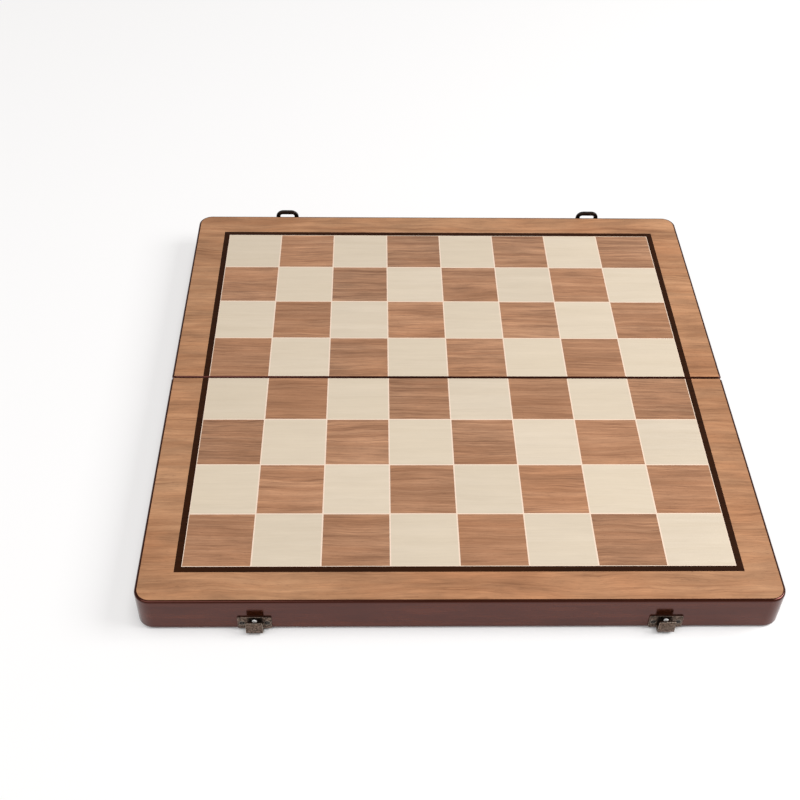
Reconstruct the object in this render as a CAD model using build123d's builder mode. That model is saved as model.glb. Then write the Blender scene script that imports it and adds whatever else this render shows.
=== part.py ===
from build123d import *
import os
from math import cos, radians, sin

# A folding chess board that is also the case for its men: two shallow wooden trays
# hinged along the middle. It lies open here, playing surface up and rims down.
# Lengths are millimetres. X runs along the seam between the halves, Y from the front
# half to the back half, and Z up. The origin is under the middle of the seam, at the
# lowest point of the hinge knuckles.

os.makedirs("parts", exist_ok=True)

# Playing surface
square_pitch = 41.3
squares_across = 8
light_line_width = 0.8
edge_light_line_width = 0.4
black_line_lap = 0.4
black_line_width = 4.1
border_width = 19.95
edge_lip = 0.15
top_edge_round = 1.5
veneer_thickness = 0.6

# Wooden case
panel_thickness = 4.0
rail_height = 20.5
rail_thickness = 8.0
corner_radius = 10.0
seam_corner_ease = 1.5
rim_round = 0.6
seam_gap = 0.6
seam_edge = 0.85
seam_edge_ease = 0.6
closing_gap = 0.4

# Inside of the trays
channel_width = 31.0
divider_thickness = 5.0
divider_setback = 1.0
groove_depth = 2.5
groove_clearance = 0.05
felt_thickness = 1.0
felt_margin = 0.3

# Hinges
hinge_offset = 112.0
leaf_length = 38.0
leaf_width = 7.2
leaf_thickness = 1.0
leaf_corner = 0.8
leaf_fit = 0.1
knuckle_radius = 1.2
knuckle_count = 5
knuckle_gap = 0.2
hinge_pin_radius = 0.55
running_clearance = 0.05
hinge_screw_count = 3
hinge_screw_margin = 6.0
hinge_screw_line = 4.5
hinge_screw_head = 1.6
hinge_screw_shank = 0.7
hinge_screw_length = 8.0

# Plates screwed to the outer walls, the same for the catches and the toggle latches
latch_offset = 121.0
plate_width = 20.0
plate_height = 10.4
plate_thickness = 0.9
plate_rise = 0.2
plate_corner = 1.0
plate_edge = 0.25
plate_screw_offset = 7.4
plate_screw_rise = 5.2
plate_screw_head = 1.7
plate_screw_shank = 0.8
plate_screw_length = 6.5
nail_rise = 7.1
nail_head_radius = 1.45
nail_head_height = 0.6
nail_shank_radius = 0.6
nail_length = 6.0

# Screws and nails in general
screw_tip_length = 1.5
screw_tip_radius = 0.15
screw_slot_width = 0.45
screw_slot_depth = 0.4
screw_fit = 0.04
countersink_angle = 90.0
nail_head_round = 0.42
pin_end_ease = 0.14

# Hook of each catch
hook_width = 10.0
hook_reach = 5.0
hook_height = 10.1
hook_thickness = 1.0
hook_bend = 0.7
hook_corner = 1.0

# Toggle latches: a lever on the plate, and a loop on the lever
lever_pivot_out = 3.6
lever_pivot_rise = 6.5
lever_pivot_radius = 0.6
lever_hub_radius = 1.4
lever_hub_width = 8.6
crank_length = 5.0
loop_pivot_out = 3.1
loop_pivot_radius = 0.55
loop_hub_radius = 1.3
bill_width = 9.6
bill_thickness = 1.1
bill_bend_rise = 2.6
bill_length = 6.3
bill_curl = 1.1
bill_corner = 3.0
ear_thickness = 0.9
ear_radius = 1.4
ear_clearance = 0.2
pin_overhang = 0.1
loop_width = 18.0
loop_bar = 3.4
loop_thickness = 1.8
loop_shoulder = 6.0
loop_window_corner = 1.8
loop_edge_round = 0.5
loop_lean = 4.0
loop_side_clearance = 0.3
hook_clearance = 0.6

# How near two places count as the same
same_place = 0.01

# Sizes that follow from the ones above
field_side = squares_across * square_pitch - 2 * black_line_lap
line_side = field_side + 2 * black_line_width
veneer_side = line_side + 2 * border_width
board_side = veneer_side + 2 * (edge_lip + top_edge_round)
half_side = board_side / 2
inner_side = half_side - rail_thickness
seam_face = seam_gap / 2
veneer_start = seam_face + seam_edge
axis_z = knuckle_radius
rim_z = axis_z + closing_gap / 2
panel_z = rim_z + rail_height
top_z = panel_z + panel_thickness
divider_near = inner_side - channel_width - divider_thickness
divider_far = inner_side - channel_width
knuckle_pitch = leaf_length / knuckle_count
hinge_screw_spacing = (leaf_length - 2 * hinge_screw_margin) / (hinge_screw_count - 1)
loop_pivot_rise = lever_pivot_rise + crank_length
lever_reach = lever_pivot_out + lever_hub_radius + bill_curl
hook_seat_rise = plate_rise + hook_thickness
loop_inner_reach = loop_pivot_rise + closing_gap + hook_seat_rise + hook_clearance
loop_reach = loop_inner_reach + loop_bar

front, back = -1, 1
left, right = -1, 1
half_name = {front: "front", back: "back"}
hand_name = {left: "left", right: "right"}


def save(builder, name):
    """Label one finished piece and write its file."""
    builder.part.label = name
    export_step(builder.part, f"parts/{name}.step")


def rectangle_between(x_low, x_high, y_near, y_far, mode=Mode.ADD):
    """A rectangle in the current sketch, given by its limits."""
    with Locations(((x_low + x_high) / 2, (y_near + y_far) / 2)):
        Rectangle(abs(x_high - x_low), abs(y_far - y_near), mode=mode)


# The playing surface

def cell_span(place):
    """Limits of one square along a line, for place 0 to 7 from left or front.

    A light line is shared by each pair of neighbours. The black line laps over the
    outermost squares, and a narrower light line runs just inside it.
    """
    middle = squares_across // 2
    sign = 1 if place >= middle else -1
    steps = place - middle if place >= middle else middle - 1 - place
    last = steps == middle - 1
    near = steps * square_pitch + light_line_width / 2
    if last:
        far = field_side / 2 - edge_light_line_width
    else:
        far = (steps + 1) * square_pitch - light_line_width / 2
    return sign * near, sign * far


def cell(column, row):
    """Limits of one square. The two middle rows run up to the seam, with no light line."""
    x_near, x_far = cell_span(column)
    y_near, y_far = cell_span(row)
    if abs(y_near) < square_pitch / 2:
        y_near = veneer_start if y_far > 0 else -veneer_start
    return x_near, x_far, y_near, y_far


def cells_of(side):
    """Every column and row of one half."""
    middle = squares_across // 2
    rows = range(middle, squares_across) if side == back else range(middle)
    return [(column, row) for column in range(squares_across) for row in rows]


def squares(side, parity):
    """The squares of one colour on one half, each a separate veneer."""
    with BuildPart() as veneers:
        with BuildSketch(Plane.XY.offset(top_z - veneer_thickness)):
            for column, row in cells_of(side):
                if (column + row) % 2 == parity:
                    rectangle_between(*cell(column, row))
        extrude(amount=veneer_thickness)
    return veneers


def light_line(side):
    """The light stringing between the squares of one half."""
    with BuildPart() as stringing:
        with BuildSketch(Plane.XY.offset(top_z - veneer_thickness)):
            rectangle_between(-field_side / 2, field_side / 2,
                              side * veneer_start, side * field_side / 2)
            for column, row in cells_of(side):
                rectangle_between(*cell(column, row), mode=Mode.SUBTRACT)
        extrude(amount=veneer_thickness)
    return stringing


def black_line(side):
    """The black line round three sides of one half's squares."""
    with BuildPart() as line:
        with BuildSketch(Plane.XY.offset(top_z - veneer_thickness)):
            rectangle_between(-line_side / 2, line_side / 2,
                              side * veneer_start, side * line_side / 2)
            rectangle_between(-field_side / 2, field_side / 2,
                              side * veneer_start, side * field_side / 2,
                              mode=Mode.SUBTRACT)
        extrude(amount=veneer_thickness)
    return line


def veneer_outline(side, height):
    """Outline of everything inlaid in one half, with round outer corners."""
    with BuildSketch(Plane.XY.offset(height)) as outline:
        rectangle_between(-veneer_side / 2, veneer_side / 2,
                          side * veneer_start, side * veneer_side / 2)
        corners = sorted(outline.vertices(), key=lambda corner: abs(corner.Y))
        fillet(corners[2:], radius=corner_radius - top_edge_round - edge_lip)
    return outline.sketch


def border(side):
    """The walnut border outside the black line of one half."""
    outline = veneer_outline(side, top_z - veneer_thickness)
    with BuildPart() as veneer:
        extrude(outline, amount=veneer_thickness)
        with BuildSketch(Plane.XY.offset(top_z - veneer_thickness)):
            rectangle_between(-line_side / 2, line_side / 2,
                              side * veneer_start, side * line_side / 2)
        extrude(amount=veneer_thickness, mode=Mode.SUBTRACT)
    return veneer


# The wooden case

def half_outline(side, height):
    """Outline of one half: round outer corners, and eased corners at the seam."""
    with BuildSketch(Plane.XY.offset(height)) as outline:
        rectangle_between(-half_side, half_side, side * seam_face, side * half_side)
        corners = sorted(outline.vertices(), key=lambda corner: abs(corner.Y))
        fillet(corners[2:], radius=corner_radius)
        corners = sorted(outline.vertices(), key=lambda corner: abs(corner.Y))
        chamfer(corners[:2], length=seam_corner_ease)
    return outline.sketch


def away_from_seam(edges):
    """The edges of a half's outline apart from the long one at the seam."""
    return [edge for edge in edges if abs(edge.center().Y) > seam_face + same_place]


def at_seam(edges):
    """The long edge of a half's outline at the seam."""
    return [edge for edge in edges if abs(edge.center().Y) < seam_face + same_place]


def top_panel(side):
    """The panel over one tray, let in on top for the veneers."""
    outline = half_outline(side, panel_z)
    pocket = veneer_outline(side, top_z - veneer_thickness)
    with BuildPart() as panel:
        extrude(outline, amount=panel_thickness)
        top_face = panel.faces().sort_by(Axis.Z)[-1]
        fillet(away_from_seam(top_face.edges()), radius=top_edge_round)
        top_face = panel.faces().sort_by(Axis.Z)[-1]
        chamfer(at_seam(top_face.edges()), length=seam_edge_ease)
        extrude(pocket, amount=veneer_thickness, mode=Mode.SUBTRACT)
    return panel


def rail_ring(side):
    """The four rails of one half before they are parted at the mitres."""
    outline = half_outline(side, rim_z)
    with BuildPart() as ring:
        extrude(outline, amount=rail_height)
        with BuildSketch(Plane.XY.offset(rim_z)):
            rectangle_between(-inner_side, inner_side,
                              side * (seam_face + rail_thickness), side * inner_side)
        extrude(amount=rail_height, mode=Mode.SUBTRACT)
        rim_face = ring.faces().sort_by(Axis.Z)[0]
        fillet(away_from_seam(rim_face.outer_wire().edges()), radius=rim_round)
    return ring.part


def mitre_sketch(side, corners):
    """The plan of one rail, from its corners where the mitres lie."""
    with BuildSketch(Plane.XY.offset(rim_z)) as plan:
        with BuildLine():
            Polyline(*[(x, side * y) for x, y in corners], close=True)
        make_face()
    return plan.sketch


def mitred_rail(side, corners):
    """One rail, cut from the ring at its mitres."""
    ring = rail_ring(side)
    plan = mitre_sketch(side, corners)
    with BuildPart() as rail:
        add(ring)
        extrude(plan, amount=rail_height, mode=Mode.INTERSECT)
    return rail.part


# Plan corners on the back half, each a little beyond the ring along its mitre
overrun = rail_thickness / 4
out_x = half_side + overrun
in_x = inner_side - overrun
far_out_y = half_side + overrun
far_in_y = inner_side - overrun
seam_out_y = seam_face - overrun
seam_in_y = seam_face + rail_thickness + overrun
outer_rail_plan = [(-out_x, far_out_y), (out_x, far_out_y), (in_x, far_in_y), (-in_x, far_in_y)]
seam_rail_plan = [(-out_x, seam_out_y), (out_x, seam_out_y), (in_x, seam_in_y), (-in_x, seam_in_y)]


def side_rail_plan(hand):
    """Plan corners of the left or right rail."""
    return [(hand * out_x, seam_out_y), (hand * out_x, far_out_y),
            (hand * in_x, far_in_y), (hand * in_x, seam_in_y)]


def wall_plane(hand, side, rise=0.0, proud=0.0):
    """On the outer wall at a latch: x along the wall, y up from the rim, z outwards."""
    origin = (hand * latch_offset, side * (half_side + proud), rim_z + rise)
    return Plane(origin=origin, x_dir=(-side, 0, 0), z_dir=(0, side, 0))


def plate_screw_seats(side):
    """Where the screws of both plates of one half sit, each plane facing outwards."""
    seats = []
    for hand in (left, right):
        middle = wall_plane(hand, side, plate_rise + plate_screw_rise, plate_thickness)
        for along in (-plate_screw_offset, plate_screw_offset):
            seats.append(Plane(origin=middle.from_local_coords((along, 0, 0)),
                               x_dir=middle.x_dir, z_dir=middle.z_dir))
    return seats


def nail_seats(side):
    """Where the middle nail of each plate of one half sits."""
    return [wall_plane(hand, side, nail_rise, plate_thickness) for hand in (left, right)]


def hinge_screw_seats(side, hands=(left, right)):
    """Where the screws of one half's hinge leaves sit, each plane facing down."""
    seats = []
    for hand in hands:
        for place in range(hinge_screw_count):
            along = (place - (hinge_screw_count - 1) / 2) * hinge_screw_spacing
            origin = (hand * hinge_offset + along, side * hinge_screw_line, rim_z)
            seats.append(Plane(origin=origin, x_dir=(1, 0, 0), z_dir=(0, 0, -1)))
    return seats


def drill(seats, radius, depth):
    """Blind holes in the current part, one down from each seat."""
    with Locations(*seats):
        Cylinder(radius + screw_fit, depth + screw_fit,
                 align=(Align.CENTER, Align.CENTER, Align.MAX), mode=Mode.SUBTRACT)


def outer_rail(side):
    """The wall that carries the catches or the latches, drilled for their screws."""
    blank = mitred_rail(side, outer_rail_plan)
    with BuildPart() as rail:
        add(blank)
        drill(plate_screw_seats(side), plate_screw_shank, plate_screw_length)
        if side == front:
            drill(nail_seats(side), nail_shank_radius, nail_length)
    return rail


def seam_rail(side):
    """The rail along the seam, let in for the hinge leaves and their knuckles."""
    blank = mitred_rail(side, seam_rail_plan)
    with BuildPart() as rail:
        add(blank)
        for hand in (left, right):
            x_low = hand * hinge_offset - leaf_length / 2 - leaf_fit
            x_high = hand * hinge_offset + leaf_length / 2 + leaf_fit
            with BuildSketch(Plane.XY.offset(rim_z)):
                rectangle_between(x_low, x_high, 0, side * (leaf_width + leaf_fit))
            extrude(amount=leaf_thickness, mode=Mode.SUBTRACT)
            with Locations((hand * hinge_offset, 0, axis_z)):
                Cylinder(knuckle_radius + knuckle_gap, leaf_length + 2 * leaf_fit,
                         rotation=(0, 90, 0), mode=Mode.SUBTRACT)
        drill(hinge_screw_seats(side), hinge_screw_shank, hinge_screw_length)
    return rail


def side_rail(side, hand):
    """The left or right rail, grooved for the end of the divider."""
    blank = mitred_rail(side, side_rail_plan(hand))
    with BuildPart() as rail:
        add(blank)
        with BuildSketch(Plane.XY.offset(rim_z + divider_setback)):
            rectangle_between(hand * (inner_side - overrun), hand * (inner_side + groove_depth),
                              side * (divider_near - groove_clearance),
                              side * (divider_far + groove_clearance))
        extrude(amount=rail_height - divider_setback, mode=Mode.SUBTRACT)
    return rail


def divider(side):
    """The strip that parts the draughts channel from the room for the chessmen."""
    reach = inner_side + groove_depth - groove_clearance
    with BuildPart() as strip:
        with BuildSketch(Plane.XY.offset(rim_z + divider_setback)):
            rectangle_between(-reach, reach, side * divider_near, side * divider_far)
        extrude(amount=rail_height - divider_setback)
    return strip


def felt(side):
    """The two pieces of felt glued under the panel, either side of the divider."""
    reach = inner_side - felt_margin
    with BuildPart() as lining:
        with BuildSketch(Plane.XY.offset(panel_z - felt_thickness)):
            rectangle_between(-reach, reach, side * (divider_far + felt_margin),
                              side * (inner_side - felt_margin))
            rectangle_between(-reach, reach, side * (seam_face + rail_thickness + felt_margin),
                              side * (divider_near - felt_margin))
        extrude(amount=felt_thickness)
    return lining


# Screws and nails

def wood_screws(seats, head_radius, shank_radius, length):
    """Countersunk slotted screws, one down from each seat."""
    head_depth = head_radius - shank_radius
    straight = length - head_depth - screw_tip_length
    down = (Align.CENTER, Align.CENTER, Align.MAX)
    with BuildPart(*seats) as screws:
        Cone(shank_radius, head_radius, head_depth, align=down)
        with Locations((0, 0, -head_depth)):
            Cylinder(shank_radius, straight, align=down)
        with Locations((0, 0, -head_depth - straight)):
            Cone(screw_tip_radius, shank_radius, screw_tip_length, align=down)
        Box(2 * head_radius, screw_slot_width, screw_slot_depth, align=down, mode=Mode.SUBTRACT)
    return screws


def round_nails(seats):
    """Nails with a low domed head, one down from each seat."""
    with BuildPart(*seats) as nails:
        Cylinder(nail_head_radius, nail_head_height,
                 align=(Align.CENTER, Align.CENTER, Align.MIN))
        fillet(nails.faces().filter_by(Axis.Y).sort_by(Axis.Y)[:len(seats)].edges(),
               radius=nail_head_round)
        Cylinder(nail_shank_radius, nail_length, align=(Align.CENTER, Align.CENTER, Align.MAX))
    return nails


# Hinges, let into the rims so that the halves close face to face

def hinge_leaf(hand, side):
    """One leaf with its knuckles. The front leaf has the ones at both ends."""
    own = 0 if side == front else 1
    with BuildPart() as leaf:
        with BuildSketch(Plane.XY.offset(rim_z)) as plate:
            rectangle_between(hand * hinge_offset - leaf_length / 2,
                              hand * hinge_offset + leaf_length / 2, 0, side * leaf_width)
            corners = sorted(plate.vertices(), key=lambda corner: abs(corner.Y))
            fillet(corners[2:], radius=leaf_corner)
        extrude(amount=leaf_thickness)
        with Locations((hand * hinge_offset, 0, axis_z)):
            Cylinder(knuckle_radius, leaf_length, rotation=(0, 90, 0))
        for place in range(knuckle_count):
            if place % 2 != own:
                along = (place - (knuckle_count - 1) / 2) * knuckle_pitch
                with Locations((hand * hinge_offset + along, 0, axis_z)):
                    Cylinder(knuckle_radius + knuckle_gap, knuckle_pitch + knuckle_gap,
                             rotation=(0, 90, 0), mode=Mode.SUBTRACT)
        with Locations((hand * hinge_offset, 0, axis_z)):
            Cylinder(hinge_pin_radius + running_clearance, 2 * leaf_length,
                     rotation=(0, 90, 0), mode=Mode.SUBTRACT)
        with Locations(*hinge_screw_seats(side, (hand,))):
            CounterSinkHole(hinge_screw_shank + screw_fit, hinge_screw_head + screw_fit,
                            counter_sink_angle=countersink_angle)
    return leaf


def hinge_pin(hand):
    """The pin through the knuckles of one hinge."""
    with BuildPart() as pin:
        with Locations((hand * hinge_offset, 0, axis_z)):
            Cylinder(hinge_pin_radius, leaf_length, rotation=(0, 90, 0))
        chamfer(pin.edges().filter_by(GeomType.CIRCLE), length=pin_end_ease)
    return pin


# Catches on the front wall and toggle latches on the back wall

def profile_plane(hand, side, along=0.0):
    """Across the wall at a latch: x outwards, y up from the rim, z along the wall."""
    origin = (hand * latch_offset + side * along, side * half_side, rim_z)
    return Plane(origin=origin, x_dir=(0, side, 0), z_dir=(side, 0, 0))


def wall_plate(hand, side):
    """The flat plate that a catch or a latch is built on, drilled for its screws."""
    seats = plate_screw_seats(side)
    with BuildPart() as plate:
        with BuildSketch(wall_plane(hand, side)):
            with Locations((0, plate_rise + plate_height / 2)):
                RectangleRounded(plate_width, plate_height, plate_corner)
        extrude(amount=plate_thickness)
        outer_face = plate.faces().sort_by(Axis.Y)[-1 if side == back else 0]
        chamfer(outer_face.edges(), length=plate_edge)
        with Locations(*[seat for seat in seats if seat.origin.X * hand > 0]):
            CounterSinkHole(plate_screw_shank + screw_fit, plate_screw_head + screw_fit,
                            counter_sink_angle=countersink_angle)
    return plate.part


def hook_profile(hand):
    """Section of the hook: out from the plate at the rim, then up."""
    foot = plate_rise + hook_thickness / 2
    lip = hook_reach - hook_thickness / 2
    with BuildSketch(profile_plane(hand, front)) as section:
        with BuildLine():
            FilletPolyline((plate_thickness / 2, foot), (lip, foot),
                           (lip, plate_rise + hook_height), radius=hook_bend)
        trace(line_width=hook_thickness)
    return section.sketch


def catch(hand):
    """The hook plate that a latch loop pulls on when the case is shut."""
    plate = wall_plate(hand, front)
    section = hook_profile(hand)
    with BuildPart() as hook_plate:
        extrude(section, amount=hook_width / 2, both=True)
        lip_top = hook_plate.faces().filter_by(Axis.Z).sort_by(Axis.Z)[-1]
        fillet(lip_top.edges().filter_by(Axis.Y), radius=hook_corner)
        add(plate)
        drill([wall_plane(hand, front, nail_rise, plate_thickness)],
              nail_shank_radius, nail_length)
    return hook_plate


def ear_profile(hand):
    """Section of the ears that carry the lever's pin."""
    with BuildSketch(profile_plane(hand, back)) as section:
        with Locations((lever_pivot_out / 2, lever_pivot_rise)):
            Rectangle(lever_pivot_out, 2 * ear_radius)
        with Locations((lever_pivot_out, lever_pivot_rise)):
            Circle(ear_radius)
    return section.sketch


def cross_bore(hand, out, rise, radius):
    """A bore along X through the current part at a latch pivot."""
    with Locations((hand * latch_offset, half_side + out, rim_z + rise)):
        Cylinder(radius, 2 * loop_width, rotation=(0, 90, 0), mode=Mode.SUBTRACT)


def latch_base(hand):
    """The plate of one toggle latch, with its two ears."""
    plate = wall_plate(hand, back)
    ears = ear_profile(hand)
    between = lever_hub_width / 2 + ear_clearance
    with BuildPart() as base:
        extrude(ears, amount=between + ear_thickness, both=True)
        with BuildSketch(profile_plane(hand, back)):
            rectangle_between(plate_thickness, plate_thickness + 2 * lever_pivot_out,
                              lever_pivot_rise - 2 * ear_radius,
                              lever_pivot_rise + 2 * ear_radius)
        extrude(amount=between, both=True, mode=Mode.SUBTRACT)
        add(plate)
        cross_bore(hand, lever_pivot_out, lever_pivot_rise, lever_pivot_radius + screw_fit)
    return base


def lever_profile(hand):
    """Section of the lever: two pin hubs, and a bill that curls out at its tip."""
    with BuildSketch(profile_plane(hand, back)) as section:
        with Locations((lever_pivot_out, lever_pivot_rise)):
            Circle(lever_hub_radius)
        with Locations((loop_pivot_out, loop_pivot_rise)):
            Circle(loop_hub_radius)
        make_hull(section.edges())
        with BuildLine():
            bend = (loop_pivot_out, loop_pivot_rise + bill_bend_rise)
            tip = (loop_pivot_out + bill_curl, loop_pivot_rise + bill_length)
            straight = Line((loop_pivot_out, loop_pivot_rise), bend)
            TangentArc(bend, tip, tangent=straight % 1)
        trace(line_width=bill_thickness)
    return section.sketch


def lever_outline(hand):
    """Front view of the lever: a narrow hub and a wider bill with a round end."""
    low = lever_pivot_rise - 2 * lever_hub_radius
    hub_top = loop_pivot_rise + loop_hub_radius
    bill_top = loop_pivot_rise + bill_length + bill_thickness
    with BuildSketch(wall_plane(hand, back)) as outline:
        rectangle_between(-bill_width / 2, bill_width / 2, hub_top, bill_top)
        fillet(outline.vertices().sort_by(Axis.Y)[-2:], radius=bill_corner)
        rectangle_between(-lever_hub_width / 2, lever_hub_width / 2, low, hub_top)
    return outline.sketch


def latch_lever(hand):
    """The lever that draws the loop tight."""
    section = lever_profile(hand)
    outline = lever_outline(hand)
    with BuildPart() as lever:
        extrude(section, amount=bill_width / 2, both=True)
        extrude(outline, amount=2 * lever_reach, mode=Mode.INTERSECT)
        cross_bore(hand, lever_pivot_out, lever_pivot_rise, lever_pivot_radius + running_clearance)
        cross_bore(hand, loop_pivot_out, loop_pivot_rise, loop_pivot_radius + screw_fit)
    return lever


def loop_plane(hand):
    """The plane of one loop at rest, leaning a little towards the wall above its pivot."""
    origin = (hand * latch_offset, half_side + loop_pivot_out, rim_z + loop_pivot_rise)
    lean = radians(loop_lean)
    return Plane(origin=origin, x_dir=(-1, 0, 0), z_dir=(0, cos(lean), sin(lean)))


def latch_loop(hand):
    """The arched loop that goes over the hook."""
    window_width = loop_width - 2 * loop_bar
    hub_inner = lever_hub_width / 2 + loop_side_clearance
    hub_length = loop_width / 2 - hub_inner
    with BuildPart(loop_plane(hand)) as loop:
        with BuildSketch(loop_plane(hand)) as arch:
            rectangle_between(-loop_width / 2, loop_width / 2, 0, loop_reach)
            fillet(arch.vertices().sort_by(Axis.Y)[2:], radius=loop_shoulder)
            rectangle_between(-window_width / 2, window_width / 2,
                              -loop_bar, loop_inner_reach, mode=Mode.SUBTRACT)
            inner = [corner for corner in arch.vertices()
                     if abs(abs(corner.X) - window_width / 2) < same_place
                     and corner.Y > loop_inner_reach / 2]
            fillet(inner, radius=loop_window_corner)
        extrude(amount=loop_thickness / 2, both=True)
        above_pivot = [edge for edge in loop.faces().filter_by(loop_plane(hand)).edges()
                       if loop_plane(hand).to_local_coords(edge.center()).Y > same_place]
        fillet(above_pivot, radius=loop_edge_round)
        for sign in (-1, 1):
            with Locations((sign * (hub_inner + hub_length / 2), 0, 0)):
                Cylinder(loop_hub_radius, hub_length, rotation=(0, 90, 0))
        Cylinder(loop_pivot_radius + running_clearance, 2 * loop_width,
                 rotation=(0, 90, 0), mode=Mode.SUBTRACT)
    return loop


def cross_pin(hand, out, rise, radius, length):
    """A plain pin along X at a latch pivot."""
    with BuildPart() as pin:
        with Locations((hand * latch_offset, half_side + out, rim_z + rise)):
            Cylinder(radius, length, rotation=(0, 90, 0))
        chamfer(pin.edges().filter_by(GeomType.CIRCLE), length=pin_end_ease)
    return pin


# Build and write every piece

for side in (front, back):
    name = half_name[side]
    save(outer_rail(side), f"{name}_outer_rail")
    save(seam_rail(side), f"{name}_seam_rail")
    for hand in (left, right):
        save(side_rail(side, hand), f"{name}_{hand_name[hand]}_rail")
    save(top_panel(side), f"{name}_top_panel")
    save(border(side), f"{name}_border_veneer")
    save(black_line(side), f"{name}_black_line")
    save(light_line(side), f"{name}_light_line")
    save(squares(side, 0), f"{name}_dark_squares")
    save(squares(side, 1), f"{name}_light_squares")
    save(divider(side), f"{name}_divider")
    save(felt(side), f"{name}_felt")
    save(wood_screws(hinge_screw_seats(side), hinge_screw_head, hinge_screw_shank,
                     hinge_screw_length), f"{name}_hinge_screws")
    save(wood_screws(plate_screw_seats(side), plate_screw_head, plate_screw_shank,
                     plate_screw_length), f"{name}_plate_screws")

save(round_nails(nail_seats(front)), "catch_nails")

lever_pin_length = lever_hub_width + 2 * (ear_clearance + ear_thickness + pin_overhang)
loop_pin_length = loop_width + 2 * pin_overhang
for hand in (left, right):
    name = hand_name[hand]
    save(hinge_leaf(hand, front), f"{name}_hinge_front_leaf")
    save(hinge_leaf(hand, back), f"{name}_hinge_back_leaf")
    save(hinge_pin(hand), f"{name}_hinge_pin")
    save(catch(hand), f"{name}_catch")
    save(latch_base(hand), f"{name}_latch_base")
    save(latch_lever(hand), f"{name}_latch_lever")
    save(latch_loop(hand), f"{name}_latch_loop")
    save(cross_pin(hand, lever_pivot_out, lever_pivot_rise, lever_pivot_radius,
                   lever_pin_length), f"{name}_lever_pin")
    save(cross_pin(hand, loop_pivot_out, loop_pivot_rise, loop_pivot_radius,
                   loop_pin_length), f"{name}_loop_pin")
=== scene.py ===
"""Dresses the folding chess board: veneers, lacquered case, hinges, catches and latches.

Lengths in the classes are millimetres unless a comment says metres. X runs along the
seam between the halves, Y from the front half to the back half, and Z up.
"""

import logging
from contextlib import contextmanager
from dataclasses import dataclass, field
from enum import Enum
from functools import cache
from math import atan, cos, pi, radians, sin
from typing import Callable, Iterable, Iterator, Sequence

import bmesh
import bpy
from mathutils import Matrix, Vector


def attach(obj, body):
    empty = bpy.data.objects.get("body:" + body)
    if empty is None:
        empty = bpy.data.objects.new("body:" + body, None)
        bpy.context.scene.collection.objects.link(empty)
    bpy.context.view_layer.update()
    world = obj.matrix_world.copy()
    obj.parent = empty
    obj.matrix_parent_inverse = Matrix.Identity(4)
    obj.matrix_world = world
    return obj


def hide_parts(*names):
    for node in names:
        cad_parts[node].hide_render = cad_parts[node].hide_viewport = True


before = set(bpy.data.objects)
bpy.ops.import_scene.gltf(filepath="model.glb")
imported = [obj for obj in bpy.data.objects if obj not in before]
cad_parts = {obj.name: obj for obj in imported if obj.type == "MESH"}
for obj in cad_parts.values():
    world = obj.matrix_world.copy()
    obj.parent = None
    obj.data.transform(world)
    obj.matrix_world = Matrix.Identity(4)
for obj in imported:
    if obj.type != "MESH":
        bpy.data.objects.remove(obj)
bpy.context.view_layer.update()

MM = 0.001
TOUCH = 0.01  # millimetres that a height may be off, or that a tool reaches past a face
DOUBLED = 0.0005  # millimetres between two points that are merged
HALVES = {"front": -1, "back": 1}
HANDS = {"left": -1, "right": 1}
FLOAT = "NodeSocketFloat"
VECTOR = "NodeSocketVector"
Socket = bpy.types.NodeSocket
Tree = bpy.types.NodeTree
Material = bpy.types.Material
Piece = bpy.types.Object
Tone = tuple[float, float, float]
Colour = tuple[float, float, float, float]
log = logging.getLogger("chess_board")


def eye_colour(red: float, green: float, blue: float) -> Colour:
    """Turn a colour as the eye reads it on a screen into the shader's linear one.

    Args:
        red: Red from 0 to 255.
        green: Green from 0 to 255.
        blue: Blue from 0 to 255.

    Returns:
        The linear colour with full alpha.
    """
    linear = []
    for value in (red, green, blue):
        share = value / 255
        low = share <= 0.04045
        linear.append(share / 12.92 if low else ((share + 0.055) / 1.055) ** 2.4)
    return (*linear, 1.0)


# Shader building


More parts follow.
